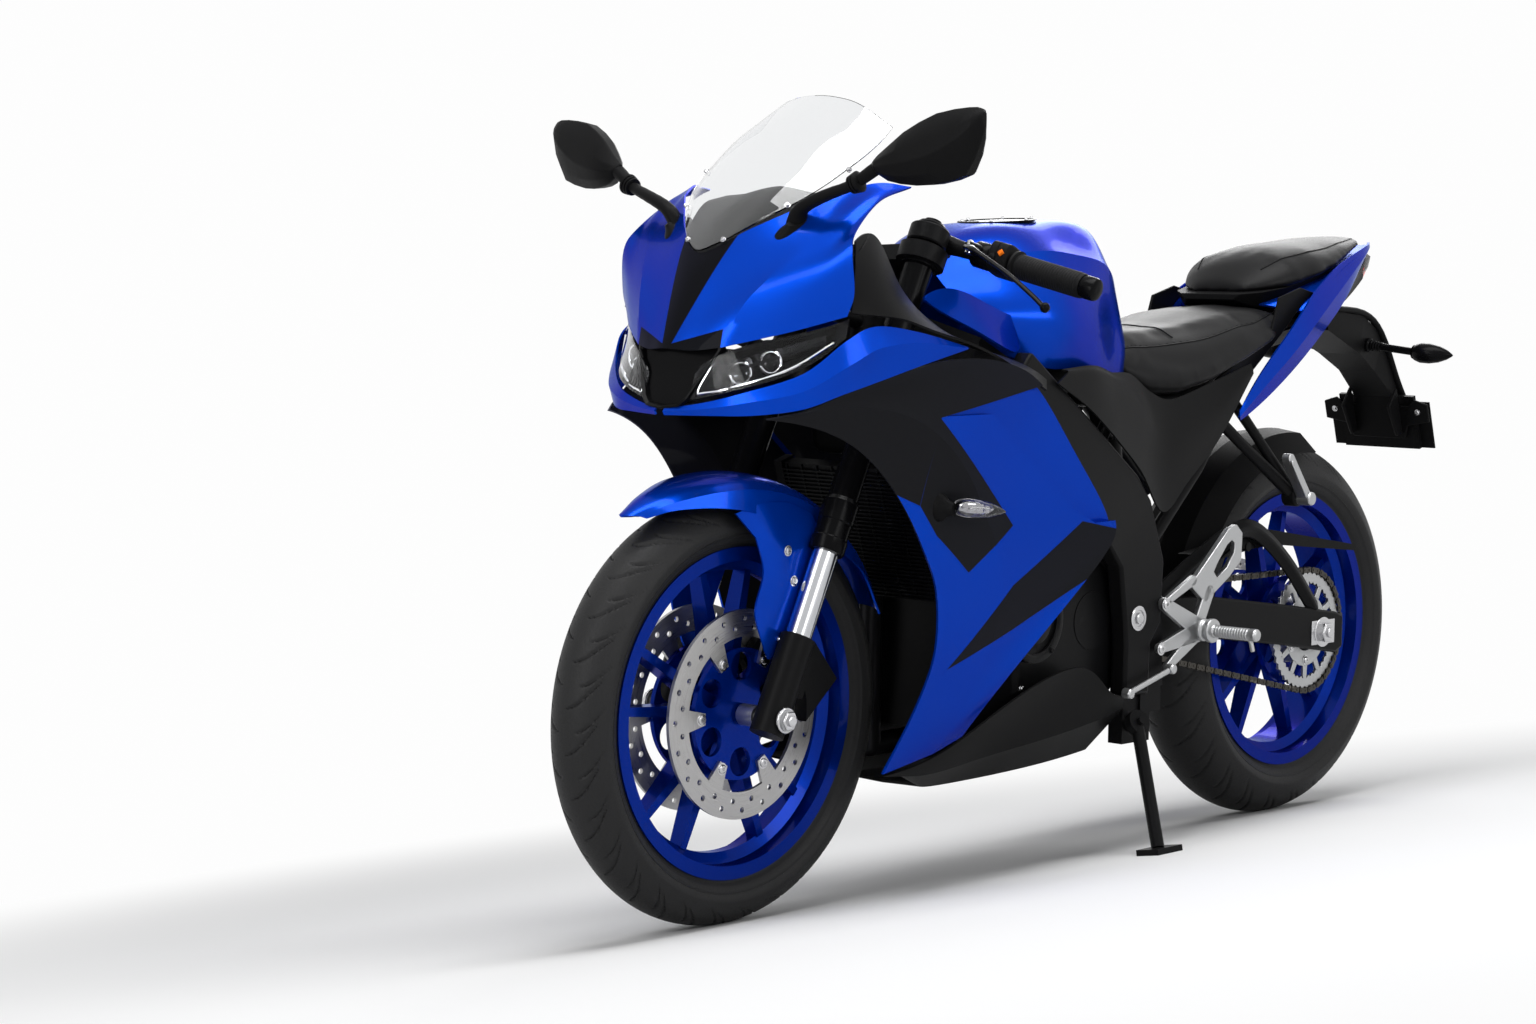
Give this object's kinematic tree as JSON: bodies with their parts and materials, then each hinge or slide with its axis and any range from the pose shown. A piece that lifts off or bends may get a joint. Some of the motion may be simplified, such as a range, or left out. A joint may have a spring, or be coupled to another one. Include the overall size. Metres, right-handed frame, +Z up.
{
  "type": "sport motorcycle",
  "caption": "Light sport motorcycle with a full fairing, clip-on bars, split seat and spoked alloy wheels, leaning on its side stand.",
  "frame": {"origin": "on the floor under the middle of the parked machine's box", "axes": "+X forward along the wheelbase, +Y to the rider's left, +Z up; the machine leans to +Y on its side stand"},
  "size_m": [1.9973, 0.7894, 1.1588],
  "materials": {
    "black_plastic": "fine grained matte black",
    "blue_paint": "bright metallic blue, glossy",
    "bright_steel": "bright plated steel",
    "cast_silver": "silver painted castings",
    "chain_steel": "oiled chain steel",
    "chrome_tube": "hard chrome fork tube",
    "clear_screen": "clear moulded screen",
    "dark_grey_panel": "satin dark grey",
    "disc_steel": "ground disc steel",
    "engine_black": "black painted castings",
    "exhaust_steel": "satin steel",
    "frame_black": "matte black frame paint",
    "grip_rubber": "black grip rubber",
    "lamp_clear": "clear lamp lens",
    "lamp_red": "red lens",
    "mirror_black": "satin black",
    "radiator_black": "black finned core",
    "seat_vinyl": "black grained seat vinyl",
    "tyre": "black tyre rubber",
    "wheel_blue": "metallic blue wheel paint"
  },
  "bodies": {
    "chassis": {"main_frame": "frame_black", "subframe": "frame_black", "engine": "engine_black", "radiator": "radiator_black", "exhaust": "exhaust_steel", "fuel_tank": "blue_paint", "lid_hinge": "bright_steel", "rider_seat": "seat_vinyl", "pillion_seat": "seat_vinyl", "nose_cowl": "blue_paint", "windscreen": "clear_screen", "headlights": "black_plastic", "nose_intake": "black_plastic", "nose_wings": "blue_paint", "cockpit_sides": "dark_grey_panel", "fairing_left": "blue_paint", "fairing_right": "blue_paint", "belly_pan": "dark_grey_panel", "tail_cowl": "blue_paint", "undertray": "black_plastic", "tail_light": "lamp_red", "plate_holder": "black_plastic", "number_plate": "black_plastic", "rear_signals": "black_plastic", "front_signals": "black_plastic", "side_covers": "black_plastic", "front_stay": "frame_black", "instruments": "black_plastic", "mirrors": "mirror_black", "panel_stays": "frame_black", "swingarm": "frame_black", "rear_shock": "frame_black", "chain": "chain_steel", "chain_guard": "black_plastic", "hugger": "black_plastic", "rearset_left": "cast_silver", "rearset_right": "cast_silver", "pillion_pegs": "frame_black", "headlight_covers": "lamp_clear", "tank_shrouds": "blue_paint"},
    "steering": {"fork_lowers": "frame_black", "fork_tubes": "chrome_tube", "fork_uppers": "frame_black", "front_axle": "bright_steel", "yokes": "frame_black", "handlebars": "grip_rubber", "controls": "black_plastic", "front_calipers": "frame_black", "front_mudguard": "blue_paint"},
    "front_wheel": {"front_tyre": "tyre", "front_wheel": "wheel_blue", "front_discs": "disc_steel"},
    "rear_wheel": {"rear_tyre": "tyre", "rear_wheel": "wheel_blue", "rear_sprocket": "disc_steel", "rear_disc": "disc_steel"},
    "side_stand": {"side_stand": "frame_black"},
    "fuel_lid": {"fuel_lid": "bright_steel"}
  },
  "joints": [
    {"name": "steering", "type": "hinge", "parent": "chassis", "child": "steering", "pos_m": [0.40384, -0.04371, 0.80773], "axis": [-0.4303, 0.149, 0.8903], "range_deg": [-25, 25]},
    {"name": "front_wheel_spin", "type": "hinge", "parent": "steering", "child": "front_wheel", "pos_m": [0.70265, -0.12989, 0.29265], "axis": [0, 0.9863, -0.165], "continuous": true},
    {"name": "rear_wheel_spin", "type": "hinge", "parent": "chassis", "child": "rear_wheel", "pos_m": [-0.62234, -0.12692, 0.31069], "axis": [0, 0.9863, -0.165], "continuous": true},
    {"name": "side_stand_fold", "type": "hinge", "parent": "chassis", "child": "side_stand", "pos_m": [-0.05187, 0.0157, 0.19342], "axis": [0.1694, 0.939, 0.2994], "range_deg": [0, 100]},
    {"name": "fuel_lid_hinge", "type": "hinge", "parent": "chassis", "child": "fuel_lid", "pos_m": [0.16623, -0.01812, 0.96071], "axis": [0, 0.9863, -0.165], "range_deg": [0, 85]}
  ]
}
